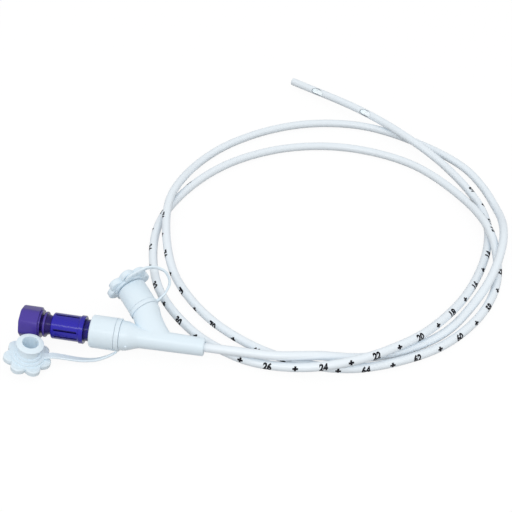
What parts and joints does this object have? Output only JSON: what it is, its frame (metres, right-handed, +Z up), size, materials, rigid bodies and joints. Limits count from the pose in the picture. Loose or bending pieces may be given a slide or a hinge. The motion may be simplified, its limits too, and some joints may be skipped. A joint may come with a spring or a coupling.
{
  "type": "nasogastric feeding tube",
  "caption": "Coiled feeding tube with depth marks, a Y-shaped hub with flower-grip caps on straps, and a violet fluted connector with a screw cap.",
  "frame": {"origin": "bottom centre of the box round the hub and its caps, without the free tube, on the surface the part lies on", "axes": "+X along the hub's main axis from the port's mouth to the tube's outlet, +Y toward the side limb, +Z up from the surface"},
  "size_m": [0.1786, 0.1886, 0.0217],
  "materials": {
    "hub_white": "smooth soft vinyl, faintly cool white",
    "tube_white": "smooth translucent soft tubing, cool white",
    "cap_white": "smooth soft moulding, cool white",
    "side_cap_white": "smooth soft moulding, cool white",
    "strap_white": "smooth soft moulding, cool white",
    "violet": "glossy translucent violet plastic",
    "light_violet": "satin lighter violet plastic"
  },
  "bodies": {
    "hub": {"y_connector": "hub_white", "feeding_tube": "tube_white"},
    "open_cap": {"main_cap": "cap_white"},
    "side_tether": {"side_cap_strap": "strap_white"},
    "side_plug": {"side_cap": "side_cap_white"},
    "adapter": {"connector_adapter": "violet"},
    "cap": {"screw_cap": "light_violet"}
  },
  "joints": [
    {"name": "adapter_pull", "type": "slide", "parent": "hub", "child": "adapter", "axis": [-1, 0, 0], "range_m": [0, 0.009]},
    {"name": "screw_cap_off", "type": "slide", "parent": "adapter", "child": "cap", "axis": [-1, 0, 0], "range_m": [0, 0.008]},
    {"name": "open_cap_swivel", "type": "hinge", "parent": "hub", "child": "open_cap", "pos_m": [0.00324, -0.00218, 0.0059], "axis": [-1, 0, 0], "range_deg": [0, 150]},
    {"name": "side_cap_swivel", "type": "hinge", "parent": "hub", "child": "side_tether", "pos_m": [0.01994, -0.00218, 0.0059], "axis": [0.6508, -0.7317, -0.2029], "range_deg": [0, 90]},
    {"name": "side_cap_pull", "type": "slide", "parent": "side_tether", "child": "side_plug", "axis": [-0.6508, 0.7317, 0.2029], "range_m": [0, 0.008], "deforming": ["side_cap_strap"]}
  ]
}
